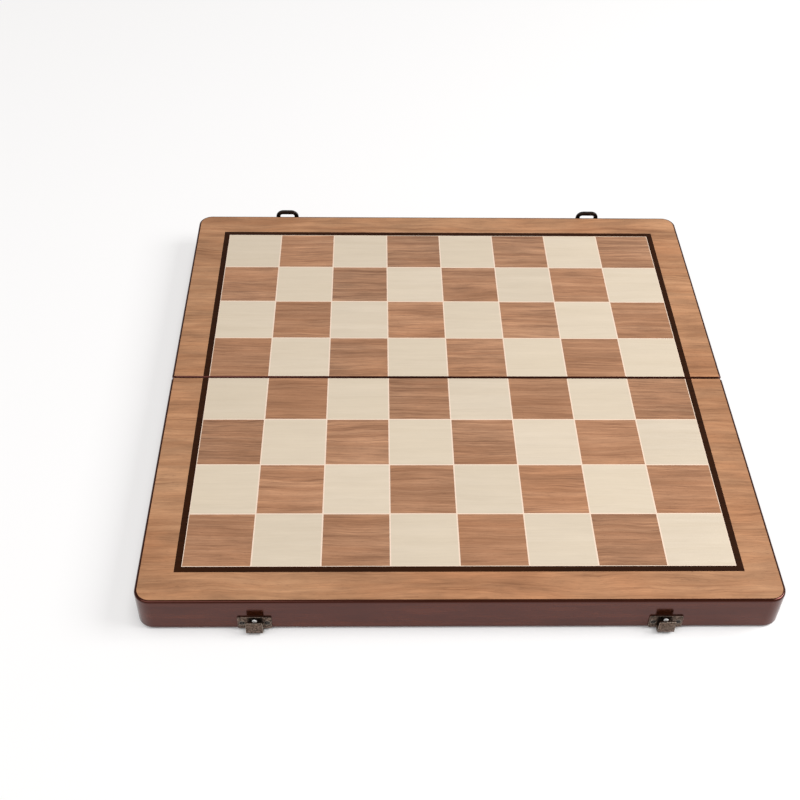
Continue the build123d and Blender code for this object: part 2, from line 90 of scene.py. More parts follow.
class NodeKit:
    """Adds and joins nodes in one material, world or node group."""

    def __init__(self, tree: Tree) -> None:
        """Keep the tree that the nodes go into."""
        self.tree = tree

    def feed(self, node: bpy.types.Node, inputs: dict[str | int, object]) -> None:
        """Link or set inputs of a node.

        Args:
            node: The node.
            inputs: Sockets by name or place, each with a value or a socket to link.
        """
        for name, value in inputs.items():
            if isinstance(value, Socket):
                self.tree.links.new(value, node.inputs[name])
            else:
                node.inputs[name].default_value = value

    def add(self, kind: str, inputs: dict[str | int, object] | None = None,
            **settings: object) -> bpy.types.Node:
        """Add one node.

        Args:
            kind: Blender's name of the node type.
            inputs: Sockets by name or place, each with a value or a socket to link.
            **settings: Properties of the node itself.

        Returns:
            The new node.
        """
        node = self.tree.nodes.new(kind)
        for name, value in settings.items():
            setattr(node, name, value)
        self.feed(node, inputs or {})
        return node

    def math(self, operation: str, first: object, second: object = 0.0,
             clamp: bool = False) -> Socket:
        """Work out one sum on two numbers or sockets, held from 0 to 1 where clamped."""
        return self.add("ShaderNodeMath", {0: first, 1: second}, operation=operation,
                        use_clamp=clamp).outputs[0]

    def vector_math(self, operation: str, first: object, second: object) -> Socket:
        """Work out one sum on two vectors or sockets."""
        node = self.add("ShaderNodeVectorMath", {0: first, 1: second}, operation=operation)
        return node.outputs["Vector"]

    def noise(self, vector: Socket, scale: object, detail: float,
              roughness: float = 0.5) -> Socket:
        """Read noise from 0 to 1, with this many lumps in a unit and layers of finer ones."""
        return self.add("ShaderNodeTexNoise", {"Vector": vector, "Scale": scale, "Detail": detail,
                                               "Roughness": roughness}).outputs["Fac"]

    def drawn_noise(self, vector: Socket, along: float, across: float, detail: float,
                    roughness: float = 0.5, scale: object = 1.0) -> Socket:
        """Read noise with one scale along X and another across it, as wood fibres lie."""
        drawn = self.vector_math("MULTIPLY", vector, (along, across, across))
        return self.noise(drawn, scale, detail, roughness)

    def span(self, value: object, low: float, high: float, to_low: float = 0.0,
             to_high: float = 1.0) -> Socket:
        """Spread the range from low to high over another range, held at its ends."""
        inputs = {"Value": value, "From Min": low, "From Max": high, "To Min": to_low,
                  "To Max": to_high}
        return self.add("ShaderNodeMapRange", inputs).outputs["Result"]

    def mix(self, share: object, first: object, second: object,
            blend: str = "MIX") -> Socket:
        """Mix two colours.

        Args:
            share: How much of the second one lies on top, from 0 to 1.
            first: The colour under it.
            second: The colour on top.
            blend: Blender's name of the way they mix.

        Returns:
            The mixed colour.
        """
        node = self.add("ShaderNodeMix", data_type="RGBA", blend_type=blend)
        self.feed(node, {"Factor": share, 6: first, 7: second})
        return node.outputs[2]

    def shade(self, colour: Socket, value: Socket, darker: float, lighter: float) -> Socket:
        """Darken or lighten a colour by a value from 0 to 1.

        Args:
            colour: The colour.
            value: The value.
            darker: The share that a value of 0 takes off.
            lighter: The share that a value of 1 adds.

        Returns:
            The changed colour.
        """
        factor = self.span(value, 0.0, 1.0, 1.0 - darker, 1.0 + lighter)
        grey = self.add("ShaderNodeCombineXYZ", {0: factor, 1: factor, 2: factor}).outputs[0]
        return self.mix(1.0, colour, grey, blend="MULTIPLY")

    def bump(self, height: Socket, strength: float, depth: float) -> Socket:
        """Turn a height from 0 to 1 into a normal, for a relief this many millimetres deep."""
        return self.add("ShaderNodeBump", {"Height": height, "Strength": strength,
                                           "Distance": depth * MM}).outputs["Normal"]


def empty_tree(owner: Material | bpy.types.World) -> NodeKit:
    """Clear the nodes of a material or a world.

    Args:
        owner: The material or world.
    """
    owner.use_nodes = True
    owner.node_tree.nodes.clear()
    return NodeKit(owner.node_tree)


def open_group(name: str, **inputs: str) -> tuple[NodeKit, bpy.types.NodeOutputs]:
    """Start a shader node group.

    Args:
        name: The group's name.
        **inputs: Socket types by the names of its inputs.
    """
    kit = NodeKit(bpy.data.node_groups.new(name, "ShaderNodeTree"))
    for socket_name, kind in inputs.items():
        kit.tree.interface.new_socket(socket_name, in_out="INPUT", socket_type=kind)
    return kit, kit.add("NodeGroupInput").outputs


def close_group(kit: NodeKit, **results: Socket) -> Tree:
    """Give a node group its outputs.

    Args:
        kit: The group's kit.
        **results: What goes out, by name.

    Returns:
        The finished group.
    """
    for name, result in results.items():
        kind = VECTOR if result.type == "VECTOR" else FLOAT
        kit.tree.interface.new_socket(name, in_out="OUTPUT", socket_type=kind)
    kit.add("NodeGroupOutput", results)
    return kit.tree


@cache
def grain_group() -> Tree:
    """Wood grain along X, in millimetres.

    It puts out the broad growth figure, fine fibres, thin dark streaks, open pores, slow patches
    of tone and smaller clouds, which lighten and darken at random as the wood's tone does and as
    a painted sheen where the fibres lean towards or away from the eye.

    Returns:
        The node group.
    """
    kit, given = open_group("wood_grain", Vector=VECTOR, Bands=FLOAT, Sway=FLOAT, Fibres=FLOAT)
    place = given["Vector"]
    wander = kit.span(kit.drawn_noise(place, 0.012, 0.03, 2.0), 0.0, 1.0, -1.0, 1.0)
    ripple = kit.drawn_noise(place, 0.07, 0.12, 1.0)
    shift = kit.math("ADD", kit.math("MULTIPLY", wander, given["Sway"]),
                     kit.math("MULTIPLY", ripple, 1.6))
    aside = kit.add("ShaderNodeCombineXYZ", {"Y": shift}).outputs[0]
    swayed = kit.vector_math("ADD", place, aside)
    bands = kit.drawn_noise(swayed, 0.007, 1.0, 3.0, 0.55, given["Bands"])
    fibre = kit.drawn_noise(swayed, 0.035, 1.0, 4.0, 0.65, given["Fibres"])
    lines = kit.span(kit.drawn_noise(swayed, 0.022, 0.95, 3.0, 0.6), 0.5, 0.64)
    clusters = kit.span(kit.drawn_noise(place, 0.02, 0.09, 1.0), 0.35, 0.6, 0.25, 1.0)
    dashes = kit.drawn_noise(swayed, 0.25, 3.6, 2.0, 0.6)
    broad = kit.drawn_noise(place, 0.012, 0.02, 2.0)
    puffs = kit.drawn_noise(swayed, 0.024, 0.11, 4.0, 0.6)
    return close_group(
        kit, Figure=kit.span(bands, 0.38, 0.62), Fibre=kit.span(fibre, 0.3, 0.7),
        Streaks=kit.math("MULTIPLY", lines, clusters), Pores=kit.span(dashes, 0.6, 0.74),
        Patches=kit.span(broad, 0.3, 0.7), Clouds=kit.span(puffs, 0.32, 0.68))


@cache
def square_group() -> Tree:
    """A chance tone, a chance hue and a jump of the grain for each square of the field.

    Returns:
        The node group.
    """
    kit, given = open_group("each_square", Vector=VECTOR, Pitch=FLOAT)
    parts = kit.add("ShaderNodeSeparateXYZ", {0: given["Vector"]}).outputs
    column, row = (kit.math("FLOOR", kit.math("DIVIDE", parts[axis], given["Pitch"]))
                   for axis in "XY")
    index = kit.add("ShaderNodeCombineXYZ", {"X": column, "Y": row}).outputs[0]
    chance = kit.add("ShaderNodeTexWhiteNoise", {"Vector": index},
                     noise_dimensions="3D").outputs["Color"]
    split = kit.add("ShaderNodeSeparateColor", {0: chance}).outputs
    jump = kit.vector_math("MULTIPLY", chance, (900.0, 700.0, 500.0))
    return close_group(kit, Tone=split[0], Hue=split[1],
                       Grain=kit.vector_math("ADD", given["Vector"], jump))


@cache
def coat_group() -> Tree:
    """Faint unevenness of a sprayed coat, as a height and as a haze.

    Returns:
        The node group.
    """
    kit, given = open_group("sprayed_coat", Vector=VECTOR)
    haze = kit.noise(given["Vector"], 0.03, 4.0, 0.6)
    return close_group(kit, Height=kit.noise(given["Vector"], 0.35, 2.0, 0.4),
                       Haze=kit.span(haze, 0.35, 0.75))


@cache
def wear_group() -> Tree:
    """Where edges lighten, as rubbed plating and as a painted highlight, where plating is
    stained, and its fine relief.

    Returns:
        The node group.
    """
    kit, given = open_group("plating_wear", Vector=VECTOR, Edge=FLOAT)
    place = given["Vector"]
    rounded = kit.add("ShaderNodeBevel", {"Radius": given["Edge"]}, samples=6).outputs[0]
    flat = kit.add("ShaderNodeNewGeometry").outputs["Normal"]
    likeness = kit.add("ShaderNodeVectorMath", {0: rounded, 1: flat},
                       operation="DOT_PRODUCT").outputs["Value"]
    # Edges found by the bevel: rubbed wear and a painted highlight
    edge = kit.span(likeness, 0.995, 0.86)
    blotch = kit.span(kit.noise(place, 1.1, 4.0, 0.6), 0.35, 0.6, 0.4, 1.0)
    return close_group(kit, Rubbed=kit.math("MULTIPLY", edge, blotch, clamp=True),
                       Stained=kit.span(kit.noise(place, 0.9, 5.0, 0.75), 0.43, 0.59),
                       Height=kit.noise(place, 4.0, 3.0, 0.6))


def place_group(kit: NodeKit, group: Tree, **inputs: object) -> bpy.types.NodeOutputs:
    """Put a shared group in a material and return what it puts out, by name."""
    return kit.add("ShaderNodeGroup", inputs, node_tree=group).outputs


def start_material(name: str, turn: float = 0.0
                   ) -> tuple[Material, NodeKit, bpy.types.Node, Socket]:
    """Make a material with its shader.

    Args:
        name: The material's name.
        turn: Turn of the pattern about Z in degrees.
    """
    material = bpy.data.materials.new(name)
    kit = empty_tree(material)
    shader = kit.add("ShaderNodeBsdfPrincipled")
    kit.add("ShaderNodeOutputMaterial", {"Surface": shader.outputs[0]})
    coords = kit.add("ShaderNodeTexCoord").outputs["Object"]
    place = kit.add("ShaderNodeMapping", {
        "Vector": coords, "Rotation": (0.0, 0.0, radians(turn)),
        "Scale": (1 / MM, 1 / MM, 1 / MM)}).outputs[0]
    return material, kit, shader, place


class GrainWay(Enum):
    """Which way the grain of a wooden piece runs, as the turn of its pattern."""

    ALONG_X = 0.0
    ALONG_Y = -90.0


@dataclass(frozen=True)
class WoodFinish:
    """One stained or natural wood under its lacquer, in tones as the eye reads them.

    Each share says how strongly a part of the grain shows, from 0 to 1.
    """

    name: str
    light: Tone
    dark: Tone
    warm: Tone
    streak: Tone
    pore: Tone
    bands: float
    sway: float
    fibres: float
    figure_share: float
    fibre_share: float
    pore_share: float
    streak_share: float = 0.5
    patch_share: float = 0.55
    cloud_share: float = 0.0
    tone_share: float = 0.0
    hue_share: float = 0.35
    fibre_shine: float = 0.6  # how far a fibre lightens, against how far it darkens
    way: GrainWay = GrainWay.ALONG_X
    square_pitch: float = 0.0
    gloss: float = 0.42
    haze: tuple[float, float] = (-0.04, 0.06)
    sheen_level: float = 0.3
    sheen_tint: Colour = (1.0, 1.0, 1.0, 1.0)
    coat: float = 0.2
    coat_gloss: float = 0.3
    pore_relief: float = 0.5
    relief: float = 0.12
    relief_depth: float = 0.05
    # edge fields: a painted shade, darker up to the top edge, standing in for the dark reflection
    # of its rounding
    edge_height: float = 0.0
    edge_depth: float = 0.0
    edge_share: float = 0.0
    edge_painted_shade: Tone = (0.0, 0.0, 0.0)

    def material(self) -> Material:
        """Build the material.

        Returns:
            The finished material.
        """
        material, kit, shader, place = start_material(self.name, self.way.value)
        grain_place = place
        if self.square_pitch:
            square = place_group(kit, square_group(), Vector=place, Pitch=self.square_pitch)
            grain_place = square["Grain"]
        grain = place_group(kit, grain_group(), Vector=grain_place, Bands=self.bands,
                            Sway=self.sway, Fibres=self.fibres)

        def stain(under: object, mask: Socket, share: float, tone: Tone) -> Socket:
            """Lay a tone over a colour where a mask has it."""
            return kit.mix(kit.math("MULTIPLY", mask, share), under, eye_colour(*tone))

        colour = stain(eye_colour(*self.light), grain["Figure"], self.figure_share, self.dark)
        colour = stain(colour, grain["Patches"], self.patch_share, self.warm)
        colour = stain(colour, grain["Streaks"], self.streak_share, self.streak)
        colour = kit.shade(colour, grain["Fibre"], self.fibre_share,
                           self.fibre_share * self.fibre_shine)
        # Clouds: tone at random, partly a painted sheen of fibres leaning towards or away from
        # the eye
        colour = kit.shade(colour, grain["Clouds"], self.cloud_share, self.cloud_share)
        if self.square_pitch:
            colour = kit.shade(colour, square["Tone"], self.tone_share, self.tone_share)
            colour = stain(colour, square["Hue"], self.hue_share, self.warm)
        colour = stain(colour, grain["Pores"], self.pore_share, self.pore)
        # Painted shade: the colour darkens up to the edge height, for the dark reflection of the
        # rounded top edge
        if self.edge_share:
            height = kit.add("ShaderNodeSeparateXYZ", {0: place}).outputs["Z"]
            painted_edge_shade = kit.span(height, self.edge_height - self.edge_depth, self.edge_height,
                                 0.0, self.edge_share)
            colour = kit.mix(painted_edge_shade, colour, eye_colour(*self.edge_painted_shade))

        coat = place_group(kit, coat_group(), Vector=place)
        least, most = (self.gloss + change for change in self.haze)
        hollows = kit.math("MULTIPLY", grain["Pores"], self.pore_relief)
        relief = kit.math("SUBTRACT", coat["Height"], hollows)
        kit.feed(shader, {
            "Base Color": colour, "Roughness": kit.span(coat["Haze"], 0.0, 1.0, least, most),
            "Specular IOR Level": self.sheen_level, "Specular Tint": self.sheen_tint,
            "Coat Weight": self.coat, "Coat Roughness": self.coat_gloss,
            "Normal": kit.bump(relief, self.relief, self.relief_depth)})
        return material


@dataclass(frozen=True)
class MetalFinish:
    """One plated or plain metal, in tones as the eye reads them, lighter at its edges as rubbed
    wear and as a painted highlight.
    """

    name: str
    base: Tone
    rubbed_and_highlight: Tone
    stained: Tone
    roughness: float
    metallic: float = 1.0
    edge: float = 0.35
    stain_share: float = 0.5
    stain_dulls: float = 0.22
    rubbing_shines: float = 0.12
    relief: float = 0.12
    relief_depth: float = 0.04

    def material(self) -> Material:
        """Build the material.

        Returns:
            The finished material.
        """
        material, kit, shader, place = start_material(self.name)
        wear = place_group(kit, wear_group(), Vector=place, Edge=self.edge * MM)
        stain = kit.math("MULTIPLY", wear["Stained"], self.stain_share)
        colour = kit.mix(stain, eye_colour(*self.base), eye_colour(*self.stained))
        # Edges take the lighter tone, for rubbed wear and as a painted highlight
        colour = kit.mix(wear["Rubbed"], colour, eye_colour(*self.rubbed_and_highlight))
        dull = kit.math("MULTIPLY", stain, self.stain_dulls)
        shine = kit.math("MULTIPLY", wear["Rubbed"], self.rubbing_shines)
        rough = kit.math("SUBTRACT", kit.math("ADD", dull, self.roughness), shine)
        kit.feed(shader, {"Base Color": colour, "Roughness": rough, "Metallic": self.metallic,
                          "Normal": kit.bump(wear["Height"], self.relief, self.relief_depth)})
        return material


@dataclass(frozen=True)
class FeltFinish:
    """Pressed wool felt with short loose fibres, in tones as the eye reads them."""

    name: str
    base: Tone
    light: Tone
    tangle_share: float = 0.75
    cloud_share: float = 0.2
    relief: float = 0.55
    relief_depth: float = 0.25

    def material(self) -> Material:
        """Build the material.

        Returns:
            The finished material.
        """
        material, kit, shader, place = start_material(self.name)
        warped = kit.add("ShaderNodeTexNoise", {"Vector": place, "Scale": 0.8, "Detail": 2.0})
        push = kit.vector_math("MULTIPLY", warped.outputs["Color"], (2.5, 2.5, 2.5))
        tangle = kit.noise(kit.vector_math("ADD", place, push), 1.9, 5.0, 0.75)
        fibres = kit.span(tangle, 0.4, 0.68, 0.0, self.tangle_share)
        clouds = kit.span(kit.noise(place, 0.05, 3.0), 0.4, 0.7, 0.0, self.cloud_share)
        share = kit.math("ADD", fibres, clouds, clamp=True)
        kit.feed(shader, {
            "Base Color": kit.mix(share, eye_colour(*self.base), eye_colour(*self.light)),
            "Roughness": 0.95, "Specular IOR Level": 0.15, "Sheen Weight": 0.35,
            "Sheen Roughness": 0.6,
            "Normal": kit.bump(tangle, self.relief, self.relief_depth)})
        return material


# Modelling by hand tools


class RodWay(Enum):
    """Which way a rod lies, as the turn of an upright one."""

    ALONG_X = (0.0, pi / 2, 0.0)
    ALONG_Z = (0.0, 0.0, 0.0)


class SolidWork(Enum):
    """How one solid is worked with another, as Blender names the operation."""

    CUT = "DIFFERENCE"
    TRIM = "INTERSECT"
    JOIN = "UNION"


class Element(Enum):
    """What is picked in edit mode: the select mode's name, with the mesh's list."""

    VERT = "verts"
    EDGE = "edges"
    FACE = "faces"


def select_only(*pieces: Piece) -> None:
    """Select these pieces and nothing else, and make the first one active.

    Args:
        *pieces: The pieces, or none to deselect everything.
    """
    bpy.ops.object.select_all(action="DESELECT")
    for piece in pieces:
        piece.select_set(True)
    if pieces:
        bpy.context.view_layer.objects.active = pieces[0]


def newest(name: str) -> Piece:
    """Name the object that an operator has just added or joined.

    Args:
        name: The object's name.

    Returns:
        The object.
    """
    piece = bpy.context.view_layer.objects.active
    piece.name = name
    piece.data.name = name
    return piece


def apply_place(piece: Piece) -> None:
    """Move a piece's place, turn and size into its mesh."""
    select_only(piece)
    bpy.ops.object.transform_apply(location=True, rotation=True, scale=True)


def add_block(name: str, low: Sequence[float], high: Sequence[float]) -> Piece:
    """A rectangular blank between two corners.

    Args:
        name: The piece's name.
        low: The lowest corner.
        high: The highest corner.

    Returns:
        The blank.
    """
    select_only()
    middle = [(a + b) / 2 * MM for a, b in zip(low, high)]
    size = [(b - a) * MM for a, b in zip(low, high)]
    bpy.ops.mesh.primitive_cube_add(size=1.0, location=middle, scale=size)
    piece = newest(name)
    apply_place(piece)
    return piece


def add_rod(name: str, centre: Sequence[float], radius: float, length: float, way: RodWay,
            sides: int = 32, end_radius: float | None = None) -> Piece:
    """A round or conical blank along a main axis.

    Args:
        name: The piece's name.
        centre: Its middle.
        radius: Radius at the low end.
        length: Its length.
        way: Which way it lies.
        sides: How many flat sides stand for the round.
        end_radius: Radius at the high end, if it differs.

    Returns:
        The blank.
    """
    select_only()
    top = radius if end_radius is None else end_radius
    bpy.ops.mesh.primitive_cone_add(vertices=sides, radius1=radius * MM, radius2=top * MM,
                                    depth=length * MM, rotation=way.value,
                                    location=[value * MM for value in centre])
    piece = newest(name)
    apply_place(piece)
    return piece


@contextmanager
def editing(piece: Piece) -> Iterator[None]:
    """Work on one piece in edit mode, with nothing selected at first.

    Args:
        piece: The piece.
    """
    select_only(piece)
    bpy.ops.object.mode_set(mode="EDIT")
    bpy.ops.mesh.select_mode(type="VERT")
    bpy.ops.mesh.select_all(action="DESELECT")
    yield
    bpy.ops.object.mode_set(mode="OBJECT")


def pick(piece: Piece, kind: Element, test: Callable[[object], bool]) -> None:
    """Select vertices, edges or faces by a test, in edit mode.

    Args:
        piece: The piece in edit mode.
        kind: What is picked.
        test: Says of one element whether it is picked.
    """
    bpy.ops.mesh.select_mode(type=kind.name)
    bpy.ops.mesh.select_all(action="DESELECT")
    mesh = bmesh.from_edit_mesh(piece.data)
    for element in getattr(mesh, kind.value):
        if test(element):
            element.select_set(True)
    mesh.select_flush_mode()
    bmesh.update_edit_mesh(piece.data)


def facing(axis: int) -> Callable[[object], bool]:
    """Give the test for faces that look up a main axis."""
    return lambda face: face.normal[axis] > 0.9


def corner_above(height: float) -> Callable[[object], bool]:
    """Give the test for edges along Z that lie further up Y than a height.

    Args:
        height: The height.

    Returns:
        The test.
    """
    def test(edge: object) -> bool:
        """Say of one edge whether it is such a corner.

        Args:
            edge: The edge.

        Returns:
            Whether it is one.
        """
        ends = [vert.co for vert in edge.verts]
        along = ends[1] - ends[0]
        middle = (ends[0] + ends[1]) / 2 / MM
        return abs(along.z) > 0.999 * along.length and middle.y > height
    return test


def bevel_edges(piece: Piece, test: Callable[[object], bool], width: float,
                segments: int) -> None:
    """Bevel the edges that a test picks, in edit mode."""
    pick(piece, Element.EDGE, test)
    bpy.ops.mesh.bevel(offset=width * MM, segments=segments, affect="EDGES")


def raise_dome(head: Piece, steps: Iterable[tuple[float, float]]) -> None:
    """Draw the top face of a head in and up, step by step.

    Args:
        head: The head.
        steps: How far in and how far up each step goes.
    """
    with editing(head):
        pick(head, Element.FACE, facing(2))
        for inset, lift in steps:
            bpy.ops.mesh.inset(thickness=inset * MM)
            bpy.ops.transform.translate(value=(0, 0, lift * MM))


def use_modifier(piece: Piece, kind: str, **settings: object) -> None:
    """Add one modifier and apply it.

    Args:
        piece: The piece.
        kind: Blender's name of the modifier type.
        **settings: The modifier's settings.
    """
    modifier = piece.modifiers.new(kind.lower(), kind)
    for name, value in settings.items():
        setattr(modifier, name, value)
    select_only(piece)
    bpy.ops.object.modifier_apply(modifier=modifier.name)


def drop(*pieces: Piece) -> None:
    """Remove tools and patterns that have served."""
    for piece in pieces:
        bpy.data.objects.remove(piece, do_unlink=True)


def combine(piece: Piece, other: Piece, work: SolidWork) -> None:
    """Cut a piece by another, trim it to the other or join both, and use the other up.

    Args:
        piece: The piece that stays.
        other: The piece that is used up.
        work: What is done to the piece.
    """
    use_modifier(piece, "BOOLEAN", operation=work.value, object=other, solver="EXACT")
    drop(other)


def smooth(piece: Piece, angle: float = 35.0) -> None:
    """Shade a piece smooth apart from edges sharper than this many degrees."""
    select_only(piece)
    bpy.ops.object.shade_smooth_by_angle(angle=radians(angle))


def ease_edges(piece: Piece, width: float, segments: int = 3, angle: float = 40.0) -> None:
    """Round every edge that is sharper than an angle in degrees, and smooth the faces."""
    use_modifier(piece, "BEVEL", width=width * MM, segments=segments, limit_method="ANGLE",
                 angle_limit=radians(angle))
    smooth(piece)


def mend_normals(piece: Piece) -> None:
    """Merge doubled points and point the faces outwards.

    Args:
        piece: The piece.
    """
    with editing(piece):
        bpy.ops.mesh.select_all(action="SELECT")
        bpy.ops.mesh.remove_doubles(threshold=DOUBLED * MM)
        bpy.ops.mesh.normals_make_consistent(inside=False)


def copy_of(piece: Piece, name: str, matrix: Matrix) -> Piece:
    """Copy a piece with its own mesh, placed by a matrix.

    Args:
        piece: The piece that is copied.
        name: The copy's name.
        matrix: Where the copy goes, in metres.

    Returns:
        The copy, with its place in its mesh.
    """
    select_only(piece)
    bpy.ops.object.duplicate(linked=False)
    copy = newest(name)
    copy.matrix_world = matrix
    apply_place(copy)
    return copy


def joined_copies(pattern: Piece, name: str, places: Iterable[Matrix]) -> Piece:
    """Set a copy of a pattern in each place and join them into one piece.

    Args:
        pattern: The pattern.
        name: The joined piece's name.
        places: Where the copies go, in metres.

    Returns:
        The joined piece.
    """
    select_only(*[copy_of(pattern, f"{pattern.name}_copy", place) for place in places])
    bpy.ops.object.join()
    return newest(name)


def placed(origin: Sequence[float], along: Sequence[float], out: Sequence[float]) -> Matrix:
    """Place of a fitting that was modelled flat, with x along it and z out of it.

    Args:
        origin: Where its zero goes, in millimetres.
        along: The direction of its x.
        out: The direction of its z.

    Returns:
        The matrix in metres.
    """
    x_axis, z_axis = Vector(along).normalized(), Vector(out).normalized()
    turn = Matrix((x_axis, z_axis.cross(x_axis), z_axis)).transposed().to_4x4()
    return Matrix.Translation(Vector(origin) * MM) @ turn


def hand_over(piece: Piece, body: str, material: Material, node: str) -> None:
    """Give a finished piece its material, its body and the CAD node it stands for.

    Args:
        piece: The piece.
        body: The CAD body it rides on.
        material: Its material.
        node: The CAD node it replaces.
    """
    piece.data.materials.clear()
    piece.data.materials.append(material)
    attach(piece, body)
    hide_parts(node)
    log.info("%s: %d faces on %s", piece.name, len(piece.data.polygons), body)


def dress_node(name: str, material: Material) -> None:
    """Give a CAD node that stays a better material.

    Args:
        name: The node's name.
        material: Its material.
    """
    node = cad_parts[name]
    if not node.data.materials:
        node.data.materials.append(material)
    for slot in node.material_slots:
        slot.material = material
    log.info("%s: %s", name, material.name)


@dataclass
class WoodenCase:
    """The two lacquered trays, their dividers and the inlaid playing surface."""

    square_pitch: float = 41.3
    lacquer_tint: Colour = (1.0, 0.36, 0.31, 1.0)
    # where the painted shade along the walls' rounded top edge ends, and how far down it reaches
    top_edge: float = 24.6
    top_edge_depth: float = 1.4

    def stained(self, name: str, way: GrainWay) -> Material:
        """The dark stain of the walls, with a painted shade darkening their rounded top edge.

        Args:
            name: The material's name.
            way: Which way its grain runs.

        Returns:
            The material.
        """
        # The edge settings paint shade along the rounded top edge, for the dark reflection of its
        # rounding
        return WoodFinish(name, (68, 31, 17), (36, 16, 9), (62, 28, 13), (32, 14, 8),
                          (22, 10, 6), way=way, bands=0.3, sway=4.0, fibres=2.2,
                          figure_share=0.55, fibre_share=0.2, streak_share=0.4,
                          cloud_share=0.35, pore_share=0.4, gloss=0.15, sheen_level=0.7,
                          sheen_tint=self.lacquer_tint, coat=0.0, edge_height=self.top_edge,
                          edge_depth=self.top_edge_depth, edge_share=0.85,
                          edge_painted_shade=(36, 12, 2)).material()

    def dress_walls(self) -> None:
        """Stain the rails, panels and dividers, each along its own length."""
        along_x = self.stained("stained_wood_along", GrainWay.ALONG_X)
        along_y = self.stained("stained_wood_across", GrainWay.ALONG_Y)
        for half in HALVES:
            for part in ("outer_rail", "seam_rail", "top_panel", "divider"):
                dress_node(f"{half}_{part}", along_x)
            for part in ("left_rail", "right_rail"):
                dress_node(f"{half}_{part}", along_y)

    def dress_veneers(self) -> None:
        """Give the border, the squares and the lines their veneers."""
        veneers = {
            "border_veneer": WoodFinish(
                "walnut_border", (193, 147, 110), (165, 118, 83), (167, 110, 73),
                (134, 89, 59), (94, 58, 39), bands=0.2, sway=7.0, fibres=1.5,
                figure_share=0.6, fibre_share=0.16, patch_share=0.6, cloud_share=0.2,
                pore_share=0.5),
            "dark_squares": WoodFinish(
                "walnut_squares", (190, 145, 113), (153, 110, 82), (173, 120, 84),
                (110, 74, 54), (84, 54, 38), bands=0.3, sway=5.0, fibres=1.7,
                figure_share=0.8, fibre_share=0.28, streak_share=0.6, patch_share=0.5,
                cloud_share=0.18, pore_share=0.45, tone_share=0.12,
                square_pitch=self.square_pitch),
            "light_squares": WoodFinish(
                "maple_squares", (216, 201, 181), (207, 191, 169), (215, 199, 175),
                (198, 181, 157), (188, 168, 140), bands=0.2, sway=3.0, fibres=1.8,
                figure_share=0.5, fibre_share=0.04, streak_share=0.25, patch_share=0.4,
                cloud_share=0.025, pore_share=0.12, tone_share=0.03,
                square_pitch=self.square_pitch),
            "black_line": WoodFinish(
                "black_line", (50, 25, 10), (36, 17, 6), (55, 28, 11), (25, 13, 6),
                (18, 10, 5), bands=0.5, sway=1.0, fibres=2.5, figure_share=0.5,
                fibre_share=0.2, pore_share=0.4, sheen_level=0.08, coat=0.0),
            "light_line": WoodFinish(
                "pale_stringing", (240, 217, 198), (230, 204, 182), (238, 212, 188),
                (216, 190, 162), (205, 180, 150), bands=0.5, sway=1.0, fibres=2.5,
                figure_share=0.3, fibre_share=0.08, streak_share=0.2, pore_share=0.15),
        }
        for part, finish in veneers.items():
            veneer = finish.material()
            for half in HALVES:
                dress_node(f"{half}_{part}", veneer)


@dataclass
class FeltLining:
    """Felt glued under the panel on both sides of each divider."""

    reach: float = 182.2
    top: float = 21.9
    glue: float = 0.1
    thickness: float = 0.8
    channel: tuple[float, float] = (151.8, 182.2)
    tray: tuple[float, float] = (8.5, 146.2)
    step: float = 3.2
    unevenness: float = 0.12
    soft_edge: float = 0.3
    first_seed: int = 3

    def strip(self, name: str, near: float, far: float, seed: int) -> Piece:
        """One strip of felt, a little uneven and with soft edges.

        Args:
            name: The strip's name.
            near: Its lowest y.
            far: Its highest y.
            seed: Chance seed of its unevenness.

        Returns:
            The strip.
        """
        select_only()
        wide, deep = 2 * self.reach, far - near
        low = self.top - self.glue - self.thickness
        bpy.ops.mesh.primitive_grid_add(
            x_subdivisions=round(wide / self.step), y_subdivisions=round(deep / self.step),
            size=1.0, location=(0.0, (near + far) / 2 * MM, low * MM))
        strip = newest(name)
        strip.scale = (wide * MM, deep * MM, 1.0)
        apply_place(strip)
        with editing(strip):
            bpy.ops.mesh.select_all(action="SELECT")
            bpy.ops.transform.vertex_random(offset=self.unevenness * MM, uniform=0.0,
                                            normal=1.0, seed=seed)
            bpy.ops.mesh.vertices_smooth(factor=0.5, repeat=2)
        use_modifier(strip, "SOLIDIFY", thickness=self.thickness * MM, offset=1.0)
        use_modifier(strip, "BEVEL", width=self.soft_edge * MM, segments=3,
                     limit_method="ANGLE", angle_limit=radians(50))
        smooth(strip, 60.0)
        return strip

    def build(self) -> None:
        """Make and dress the four strips."""
        material = FeltFinish("green_felt", (26, 66, 42), (62, 112, 78)).material()
        for half, side in HALVES.items():
            for seed, (room, span) in enumerate((("channel", self.channel),
                                                 ("tray", self.tray)), self.first_seed):
                near, far = sorted((side * span[0], side * span[1]))
                strip = self.strip(f"{half}_{room}_felt", near, far, seed)
                hand_over(strip, f"{half}_half", material, f"{half}_felt")


@dataclass
class ScrewHead:
    """A slotted countersunk head with a slight dome, facing z at zero height."""

    radius: float
    shank: float
    dome: float
    slot_width: float = 0.45
    slot_depth: float = 0.4
    tool_height: float = 1.0
    eased: float = 0.07

    def model(self, name: str) -> Piece:
        """Model one head.

        Args:
            name: Its name.

        Returns:
            The head at zero.
        """
        depth = self.radius - self.shank
        head = add_rod(name, (0, 0, -depth / 2), self.shank, depth, RodWay.ALONG_Z,
                       end_radius=self.radius)
        rings = ((0.2, 0.45), (0.25, 0.35), (0.3, 0.2))  # shares of the radius and the dome
        raise_dome(head, [(self.radius * inset, self.dome * lift) for inset, lift in rings])
        reach = 2 * self.radius
        slot = add_block("slot_tool", (-reach, -self.slot_width / 2, -self.slot_depth),
                         (reach, self.slot_width / 2, self.tool_height))
        combine(head, slot, SolidWork.CUT)
        ease_edges(head, self.eased, 2)
        return head


